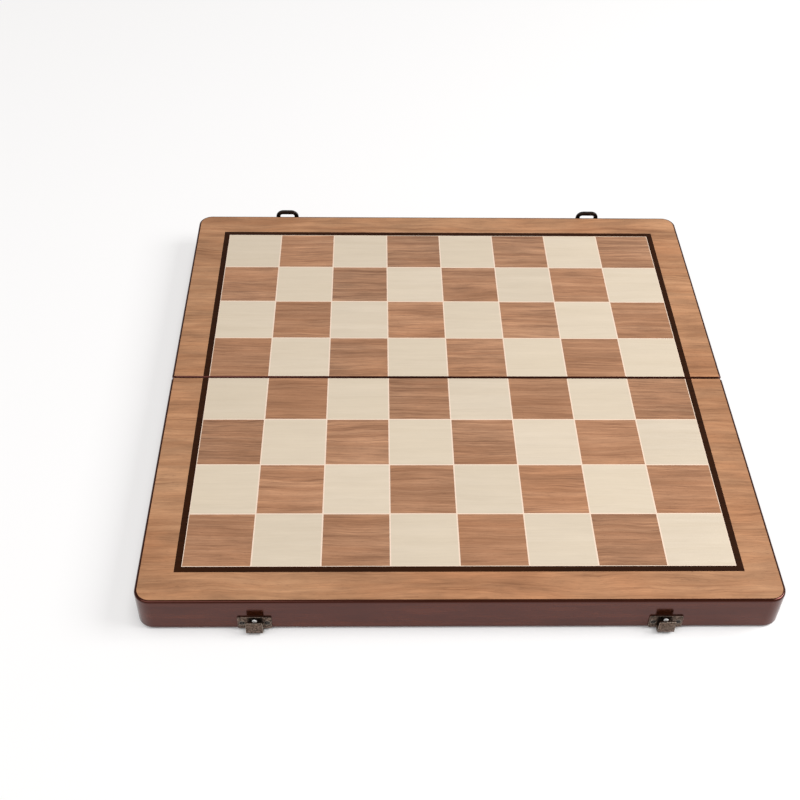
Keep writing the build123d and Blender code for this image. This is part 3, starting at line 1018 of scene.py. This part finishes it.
@dataclass
class Hinges:
    """The brass hinges let into the rims along the seam."""

    offset: float = 112.0
    screw_spacing: float = 13.0
    screw_line: float = 4.5
    rim_z: float = 1.4
    screw: ScrewHead = field(default_factory=lambda: ScrewHead(1.6, 0.7, 0.05))

    def screw_place(self, side: int, hand: int, place: int) -> Matrix:
        """Place of one screw, its slot at an angle of its own.

        Args:
            side: -1 for the front leaf and 1 for the back leaf.
            hand: -1 for the left hinge and 1 for the right one.
            place: -1, 0 or 1 along the leaf.

        Returns:
            The matrix in metres.
        """
        at = (hand * self.offset + place * self.screw_spacing, side * self.screw_line,
              self.rim_z)
        turn = radians(35 * (place + 2) + 50 * hand)
        return placed(at, (cos(turn), sin(turn), 0), (0, 0, -1))

    def build(self, brass: Material) -> None:
        """Dress the leaves and pins, and set a slotted screw in each hole.

        Args:
            brass: The hinges' metal.
        """
        for hand in HANDS:
            for part in ("hinge_front_leaf", "hinge_back_leaf", "hinge_pin"):
                dress_node(f"{hand}_{part}", brass)
        pattern = self.screw.model("hinge_screw_pattern")
        for half, side in HALVES.items():
            places = [self.screw_place(side, hand, place)
                      for hand in HANDS.values() for place in (-1, 0, 1)]
            screws = joined_copies(pattern, f"{half}_slotted_hinge_screws", places)
            hand_over(screws, f"{half}_half", brass, f"{half}_hinge_screws")
        drop(pattern)


@dataclass
class WallFitting:
    """What the catches and the latches share: a plate screwed to an outer wall.

    It is modelled with x along the wall, y up from the rim and z out of the wall.
    """

    offset: float = 121.0
    half_side: float = 190.5
    rim_z: float = 1.4
    width: float = 20.0
    height: float = 10.4
    thickness: float = 0.9
    rise: float = 0.2
    corner: float = 1.0
    edge: float = 0.25
    screw_offset: float = 7.4
    screw_rise: float = 5.4
    screw_sunk: float = 0.03
    sink_play: float = 0.07
    eased: float = 0.12
    screw: ScrewHead = field(default_factory=lambda: ScrewHead(1.7, 0.8, 0.16))

    def plate(self, name: str) -> Piece:
        """The plate with eased corners, a worked edge and countersunk holes.

        Args:
            name: The plate's name.

        Returns:
            The plate.
        """
        half, thick = self.width / 2, self.thickness
        plate = add_block(name, (-half, self.rise, 0), (half, self.rise + self.height, thick))
        with editing(plate):
            bevel_edges(plate, corner_above(0.0), self.corner, 5)
            bevel_edges(plate, lambda edge: all(vert.co.z / MM > thick - TOUCH
                                                for vert in edge.verts), self.edge, 3)
        for side in (-1, 1):
            sink = add_rod("sink_tool", (side * self.screw_offset, self.screw_rise, thick / 2),
                           self.screw.radius - thick + self.sink_play - TOUCH,
                           thick + 2 * TOUCH, RodWay.ALONG_Z,
                           end_radius=self.screw.radius + self.sink_play + TOUCH)
            combine(plate, sink, SolidWork.CUT)
        return plate

    def wall_place(self, side: int, hand: int, along: float = 0.0, rise: float = 0.0,
                   out: float = 0.0, turn: float = 0.0) -> Matrix:
        """Place on an outer wall.

        Args:
            side: -1 for the front wall and 1 for the back wall.
            hand: -1 for the left fitting and 1 for the right one.
            along: Shift along the wall from the fitting's middle.
            rise: Height above the rim.
            out: Distance from the wall.
            turn: Turn about the way out, in degrees.

        Returns:
            The matrix in metres.
        """
        at = (hand * self.offset - side * along, side * (self.half_side + out),
              self.rim_z + rise)
        axis = (-side * cos(radians(turn)), 0.0, sin(radians(turn)))
        return placed(at, axis, (0, side, 0))

    def screws(self, half: str, metal: Material) -> None:
        """Set the four screws of one wall's plates, each slot at an angle of its own.

        Args:
            half: front or back.
            metal: The screws' metal.
        """
        pattern = self.screw.model("plate_screw_pattern")
        places = [self.wall_place(HALVES[half], hand, along, self.screw_rise,
                                  self.thickness - self.screw_sunk, 40 + 65 * hand + 8 * along)
                  for hand in HANDS.values() for along in (-self.screw_offset, self.screw_offset)]
        screws = joined_copies(pattern, f"{half}_slotted_plate_screws", places)
        drop(pattern)
        hand_over(screws, f"{half}_half", metal, f"{half}_plate_screws")


@dataclass
class Catches(WallFitting):
    """The hooked plates on the front wall, each with a nail behind its lip, its head near white
    as a painted highlight.
    """

    hook_width: float = 10.0
    hook_reach: float = 5.0
    hook_top: float = 10.3
    hook_thickness: float = 1.0
    hook_root: float = 0.2
    bend: float = 0.7
    bend_steps: int = 8
    lip_corner: float = 1.0
    nail_rise: float = 7.1
    nail_radius: float = 1.45
    nail_height: float = 0.6
    nail_middle: float = 0.9
    nail_dome: float = 0.58
    nail_steps: int = 6

    def hook(self) -> Piece:
        """The hook, bent up from a flat strip.

        Returns:
            The hook.
        """
        half = self.hook_width / 2
        bend_start = self.hook_reach - self.hook_thickness / 2 - self.bend
        bend_height = self.rise + self.hook_thickness / 2 + self.bend
        hook = add_block("hook", (-half, self.rise, self.hook_root),
                         (half, self.rise + self.hook_thickness, bend_start))
        with editing(hook):
            pick(hook, Element.FACE, facing(2))
            bpy.ops.mesh.spin(steps=self.bend_steps, angle=pi / 2, axis=(1, 0, 0),
                              center=(0, bend_height * MM, bend_start * MM))
            bpy.ops.mesh.extrude_region_move(TRANSFORM_OT_translate={
                "value": (0, (self.hook_top - bend_height) * MM, 0)})
            bevel_edges(hook, corner_above(self.hook_top - TOUCH), self.lip_corner, 4)
        mend_normals(hook)
        return hook

    def nail(self) -> Piece:
        """A nail head with a low dome, part of a ball, facing z at zero height.

        Returns:
            The head.
        """
        rim = self.nail_height - self.nail_dome
        head = add_rod("nail_pattern", (0, 0, rim / 2), self.nail_radius, rim, RodWay.ALONG_Z)
        slope = 2 * atan(self.nail_dome / self.nail_radius)
        ball = self.nail_radius / sin(slope)
        slopes = [slope * (1 - self.nail_middle * step / self.nail_steps)
                  for step in range(self.nail_steps + 1)]
        raise_dome(head, [((sin(low) - sin(high)) * ball, (cos(high) - cos(low)) * ball)
                          for low, high in zip(slopes, slopes[1:])])
        smooth(head, 60.0)
        return head

    def build(self, metal: Material, steel: Material, bright: Material) -> None:
        """Make both catches, their screws and their nails.

        Args:
            metal: The catches' plating.
            steel: The screws' metal.
            bright: The nails' metal, near white as a painted highlight.
        """
        pattern = self.plate("catch_pattern")
        combine(pattern, self.hook(), SolidWork.JOIN)
        ease_edges(pattern, self.eased, 2, 50.0)
        nail = self.nail()
        for hand, sign in HANDS.items():
            catch = copy_of(pattern, f"{hand}_hook_plate", self.wall_place(-1, sign))
            hand_over(catch, "front_half", metal, f"{hand}_catch")
        places = [self.wall_place(-1, sign, rise=self.nail_rise, out=self.thickness)
                  for sign in HANDS.values()]
        nails = joined_copies(nail, "domed_catch_nails", places)
        hand_over(nails, "front_half", bright, "catch_nails")
        self.screws("front", steel)
        drop(pattern, nail)


@dataclass
class ToggleLatches(WallFitting):
    """The latches on the back wall: ears on a plate, a lever and an arched loop."""

    lever_out: float = 3.6
    lever_rise: float = 6.5
    lever_hub: float = 1.4
    lever_width: float = 8.6
    loop_out: float = 3.1
    loop_rise: float = 11.5
    loop_hub: float = 1.3
    ear_gap: float = 0.2
    ear_thickness: float = 0.9
    ear_root: float = 0.4  # how deep the ear stands in the plate, as a share of it
    hub_sides: int = 40
    hub_eased: float = 0.15
    web_half: float = 1.25
    bill_width: float = 9.6
    bill_thickness: float = 1.1
    bill_root: float = 0.8
    bill_straight: float = 2.6
    bill_length: float = 6.3
    bill_curl: float = 1.1
    bill_corner: float = 3.0
    bill_tip: float = 0.2
    bill_eased: float = 0.28
    bill_steps: int = 8
    bill_tool: tuple[float, float] = (-5.0, 12.0)  # the outline tool's reach out of the wall
    loop_width: float = 18.0
    loop_bar: float = 3.4
    loop_thickness: float = 1.8
    loop_reach: float = 17.1
    loop_shoulder: float = 6.0
    window_corner: float = 1.8
    window_tool: tuple[float, float] = (1.0, 2.0)  # how far it reaches below and out
    loop_round: float = 0.5
    loop_gap: float = 0.3
    loop_lean: float = 4.0

    def ear(self, side: int) -> Piece:
        """One ear, round where it holds the pin and flat in the plate.

        Args:
            side: -1 or 1, for either side of the lever.

        Returns:
            The ear.
        """
        middle = self.lever_width / 2 + self.ear_gap + self.ear_thickness / 2
        ear = add_rod("ear", (side * middle, self.lever_rise, self.lever_out),
                      self.lever_hub, self.ear_thickness, RodWay.ALONG_X, self.hub_sides)
        with editing(ear):
            pick(ear, Element.VERT, lambda vert: vert.co.z / MM < self.lever_out - TOUCH)
            bpy.ops.transform.resize(value=(1, 1, 0), center_override=(
                side * middle * MM, self.lever_rise * MM,
                self.ear_root * self.thickness * MM))
        ease_edges(ear, self.eased, 2)
        return ear

    def base(self) -> Piece:
        """The plate with its two ears.

        Returns:
            The base.
        """
        base = self.plate("latch_base_pattern")
        for side in (-1, 1):
            combine(base, self.ear(side), SolidWork.JOIN)
        smooth(base)
        return base

    def bill(self) -> Piece:
        """The lever's finger end: straight, then curling out to a round tip.

        Returns:
            The bill.
        """
        half, thick = self.bill_width / 2, self.bill_thickness / 2
        bend = self.loop_rise + self.bill_straight
        rise = self.bill_length - self.bill_straight
        sweep = 2 * (self.bill_curl / rise)
        sweep = sweep - sweep ** 3 / 12  # close to twice the arc tangent
        curl_radius = rise / sin(sweep)
        bill = add_block("bill", (-half, self.loop_rise + self.bill_root, self.loop_out - thick),
                         (half, bend, self.loop_out + thick))
        with editing(bill):
            pick(bill, Element.FACE, facing(1))
            bpy.ops.mesh.spin(steps=self.bill_steps, angle=sweep, axis=(-1, 0, 0),
                              center=(0, bend * MM, (self.loop_out + curl_radius) * MM))
        mend_normals(bill)
        low, high = self.bill_tool
        outline = add_block("outline_tool", (-half, 0, low),
                            (half, self.loop_rise + self.bill_length + self.bill_tip, high))
        with editing(outline):
            bevel_edges(outline, corner_above(1.0), self.bill_corner, 8)
        combine(bill, outline, SolidWork.TRIM)
        ease_edges(bill, self.bill_eased)
        return bill

    def hub(self, name: str, centre: Sequence[float], radius: float, length: float) -> Piece:
        """A hub about a pin, with eased ends.

        Args:
            name: Its name.
            centre: Its middle.
            radius: Its radius.
            length: Its length along the pin.

        Returns:
            The hub.
        """
        hub = add_rod(name, centre, radius, length, RodWay.ALONG_X, self.hub_sides)
        ease_edges(hub, self.hub_eased, 2)
        return hub

    def lever(self) -> Piece:
        """The lever: two hubs, the web between them and the bill.

        Returns:
            The lever.
        """
        lever = self.hub("lever_pattern", (0, self.lever_rise, self.lever_out),
                         self.lever_hub, self.lever_width)
        upper = self.hub("upper_hub", (0, self.loop_rise, self.loop_out), self.loop_hub,
                         self.lever_width)
        half = self.lever_width / 2 - TOUCH
        web = add_block("web", (-half, self.lever_rise, self.lever_out - self.web_half),
                        (half, self.loop_rise, self.lever_out + self.web_half))
        with editing(web):
            pick(web, Element.VERT, lambda vert: vert.co.y / MM > self.loop_rise - TOUCH)
            bpy.ops.transform.translate(value=(0, 0, (self.loop_out - self.lever_out) * MM))
        for part in (upper, web, self.bill()):
            combine(lever, part, SolidWork.JOIN)
        smooth(lever)
        return lever

    def loop(self) -> Piece:
        """The arched loop on its two hubs, leaning a little to the wall.

        Returns:
            The loop.
        """
        half, thick = self.loop_width / 2, self.loop_thickness / 2
        loop = add_block("loop_pattern", (-half, 0, -thick), (half, self.loop_reach, thick))
        below, out = self.window_tool
        window = add_block("window_tool", (self.loop_bar - half, -below, -out),
                           (half - self.loop_bar, self.loop_reach - self.loop_bar, out))
        for blank, corner in ((loop, self.loop_shoulder), (window, self.window_corner)):
            with editing(blank):
                bevel_edges(blank, corner_above(1.0), corner, 8)
        combine(loop, window, SolidWork.CUT)
        ease_edges(loop, self.loop_round, 4, 60.0)
        inner = self.lever_width / 2 + self.loop_gap
        for side in (-1, 1):
            hub = self.hub("hub", (side * (half + inner) / 2, 0, 0), self.loop_hub, half - inner)
            combine(loop, hub, SolidWork.JOIN)
        smooth(loop, 40.0)
        lean = Matrix.Rotation(-radians(self.loop_lean), 4, "X")
        loop.matrix_world = Matrix.Translation(
            Vector((0, self.loop_rise, self.loop_out)) * MM) @ lean
        apply_place(loop)
        return loop

    def build(self, metal: Material, dark: Material, steel: Material) -> None:
        """Make both latches, their pins and their screws.

        Args:
            metal: The plating of the bases and levers.
            dark: The plating of the loops.
            steel: The metal of the screws and pins.
        """
        base, lever, loop = self.base(), self.lever(), self.loop()
        for hand, sign in HANDS.items():
            at = self.wall_place(1, sign)
            hand_over(copy_of(base, f"{hand}_eared_plate", at), "back_half",
                      metal, f"{hand}_latch_base")
            hand_over(copy_of(lever, f"{hand}_duck_bill_lever", at),
                      f"{hand}_latch_lever", metal, f"{hand}_latch_lever")
            hand_over(copy_of(loop, f"{hand}_arched_loop", at),
                      f"{hand}_latch_loop", dark, f"{hand}_latch_loop")
            for pin in ("lever_pin", "loop_pin"):
                dress_node(f"{hand}_{pin}", steel)
        self.screws("back", steel)
        drop(base, lever, loop)


def hang(data: bpy.types.Light | bpy.types.Camera, place: Matrix) -> Piece:
    """Put a lamp or a camera in the scene, under its own name.

    Args:
        data: The lamp or camera.
        place: Where it goes, in metres.

    Returns:
        Its object.
    """
    hung = bpy.data.objects.new(data.name, data)
    bpy.context.scene.collection.objects.link(hung)
    hung.matrix_world = place
    return hung


@dataclass
class Studio:
    """White floor, soft lamps and the camera of the photograph, in metres."""

    camera_place: tuple[float, float, float] = (-0.05146, -0.60827, 0.58898)
    camera_yaw: float = 1.748
    camera_pitch: float = 43.863
    camera_roll: float = 1.273
    camera_lens: float = 53.96  # millimetres, as the sensor's width
    camera_sensor: float = 36.0
    camera_near: float = 0.005
    floor_size: float = 12.0
    floor_drop: float = 0.00005
    floor_colour: Colour = (0.97, 0.965, 0.965, 1.0)
    seen_colour: Colour = (1.0, 0.985, 0.978, 1.0)
    seen_white: float = 0.66
    contact_reach: float = 0.014
    contact_range: tuple[float, float] = (0.3, 0.9)
    sky_low: float = 0.7
    sky_high: float = 0.28
    sky_fade: float = 0.14
    key_place: tuple[float, float, float] = (1.35, -0.1, 1.25)
    key_size: float = 1.0
    key_power: float = 35.5
    fill_place: tuple[float, float, float] = (-0.8, -0.95, 1.45)
    fill_size: float = 1.4
    fill_power: float = 12.0

    def floor(self) -> None:
        """Lay the pale floor.

        Camera, mirror and glass rays see it nearly white, but for the shadow near a touch.
        """
        select_only()
        bpy.ops.mesh.primitive_plane_add(size=self.floor_size,
                                         location=(0, 0, -self.floor_drop))
        floor = newest("floor")
        apply_place(floor)
        material = bpy.data.materials.new("white_floor")
        kit = empty_tree(material)
        paint = kit.add("ShaderNodeBsdfDiffuse", {"Color": self.floor_colour}).outputs[0]
        white = kit.add("ShaderNodeEmission", {"Color": self.seen_colour,
                                               "Strength": 1.0}).outputs[0]
        path = kit.add("ShaderNodeLightPath").outputs
        mirrored = kit.math("MAXIMUM", path["Is Glossy Ray"], path["Is Transmission Ray"])
        seen = kit.math("MAXIMUM", path["Is Camera Ray"], mirrored)
        near = kit.add("ShaderNodeAmbientOcclusion", {"Distance": self.contact_reach},
                       samples=16).outputs["AO"]
        share = kit.math("MULTIPLY", seen,
                         kit.span(near, *self.contact_range, 0.0, self.seen_white))
        mixed = kit.add("ShaderNodeMixShader", {0: share, 1: paint, 2: white}).outputs[0]
        kit.add("ShaderNodeOutputMaterial", {"Surface": mixed})
        floor.data.materials.append(material)

    def sky(self) -> None:
        """Fill the room with soft light, white at the walls and dimmer overhead."""
        world = bpy.data.worlds.new("studio_room")
        bpy.context.scene.world = world
        kit = empty_tree(world)
        way = kit.add("ShaderNodeTexCoord").outputs["Generated"]
        height = kit.add("ShaderNodeSeparateXYZ", {0: way}).outputs["Z"]
        level = kit.span(height, 0.0, self.sky_fade, self.sky_low, self.sky_high)
        room = kit.add("ShaderNodeBackground", {"Color": (1, 1, 1, 1), "Strength": level})
        kit.add("ShaderNodeOutputWorld", {"Surface": room.outputs[0]})

    def lamp(self, name: str, place: Sequence[float], size: float, power: float) -> None:
        """Hang one square soft lamp that points at the board.

        Args:
            name: The lamp's name.
            place: Where it hangs.
            size: Its side.
            power: Its power in watts.
        """
        light = bpy.data.lights.new(name, "AREA")
        light.size = size
        light.energy = power
        aim = (-Vector(place)).to_track_quat("-Z", "Y").to_matrix().to_4x4()
        hang(light, Matrix.Translation(place) @ aim)

    def camera(self) -> None:
        """Set up the camera as the photograph was taken."""
        data = bpy.data.cameras.new("photo_camera")
        data.lens = self.camera_lens
        data.sensor_width = self.camera_sensor
        data.clip_start = self.camera_near
        place = (Matrix.Translation(self.camera_place)
                 @ Matrix.Rotation(-radians(self.camera_yaw), 4, "Z")
                 @ Matrix.Rotation(radians(90 - self.camera_pitch), 4, "X")
                 @ Matrix.Rotation(radians(self.camera_roll), 4, "Z"))
        bpy.context.scene.camera = hang(data, place)

    def build(self) -> None:
        """Set up the whole studio."""
        bpy.context.scene.view_settings.view_transform = "Standard"
        self.floor()
        self.sky()
        self.lamp("key_lamp", self.key_place, self.key_size, self.key_power)
        self.lamp("fill_lamp", self.fill_place, self.fill_size, self.fill_power)
        self.camera()


def metals() -> dict[str, Material]:
    """Make the metals of the fittings.

    Returns:
        The materials by the record's slot.
    """
    finishes = {
        "latch_metal": MetalFinish(
            "antique_plating", (128, 108, 95), (228, 216, 200), (28, 19, 14), 0.3,
            edge=0.45, stain_share=1.0, relief=0.6),
        "loop_metal": MetalFinish(
            "black_plating", (66, 62, 60), (140, 132, 124), (36, 33, 31), 0.38),
        "latch_screws": MetalFinish(
            "darkened_steel", (58, 53, 50), (150, 142, 134), (32, 28, 26), 0.4),
        # Nails near white with little metal: a painted highlight on their domes
        "bright_nails": MetalFinish(
            "bright_steel", (250, 249, 246), (253, 252, 250), (222, 218, 212), 0.4,
            metallic=0.2, stain_share=0.0),
        "hinge_metal": MetalFinish(
            "plain_brass", (206, 172, 106), (232, 206, 146), (150, 112, 60), 0.3,
            stain_share=0.4),
    }
    return {slot: finish.material() for slot, finish in finishes.items()}


def main() -> None:
    """Build every sub-assembly in order."""
    logging.basicConfig(level=logging.INFO, format="%(message)s")
    case = WoodenCase()
    case.dress_walls()
    case.dress_veneers()
    FeltLining().build()
    metal = metals()
    Hinges().build(metal["hinge_metal"])
    Catches().build(metal["latch_metal"], metal["latch_screws"], metal["bright_nails"])
    ToggleLatches().build(metal["latch_metal"], metal["loop_metal"], metal["latch_screws"])
    Studio().build()


if __name__ == "__main__":
    main()
